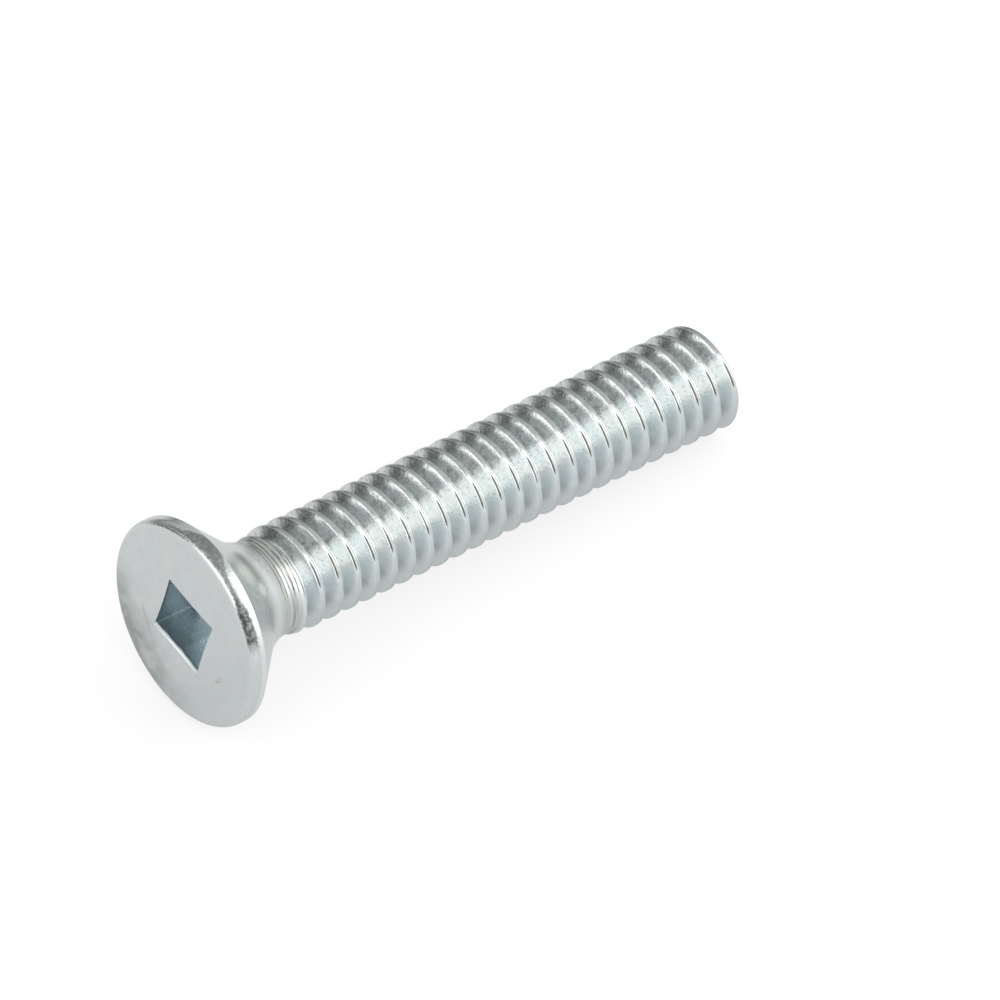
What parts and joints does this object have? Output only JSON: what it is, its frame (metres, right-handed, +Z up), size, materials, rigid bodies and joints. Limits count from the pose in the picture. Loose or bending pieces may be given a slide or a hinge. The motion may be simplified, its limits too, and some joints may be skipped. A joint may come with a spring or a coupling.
{
  "type": "countersunk machine screw",
  "caption": "Flat countersunk machine screw with a square drive recess, a filleted neck and a coarse right-hand thread up to a plain cut tip.",
  "frame": {"origin": "bottom centre of the screw's box as it lies on its head rim and its last whole thread crest, on Z = 0", "axes": "+X level, from the head towards the tip; the screw's own axis dips 5 degrees below +X in the XZ plane; +Z up"},
  "size_m": [0.0774, 0.0254, 0.0254],
  "materials": {
    "zinc_plate": "bright zinc plate over rolled and turned steel, satin on the face of the head"
  },
  "bodies": {
    "root": {"screw": "zinc_plate"}
  },
  "joints": []
}
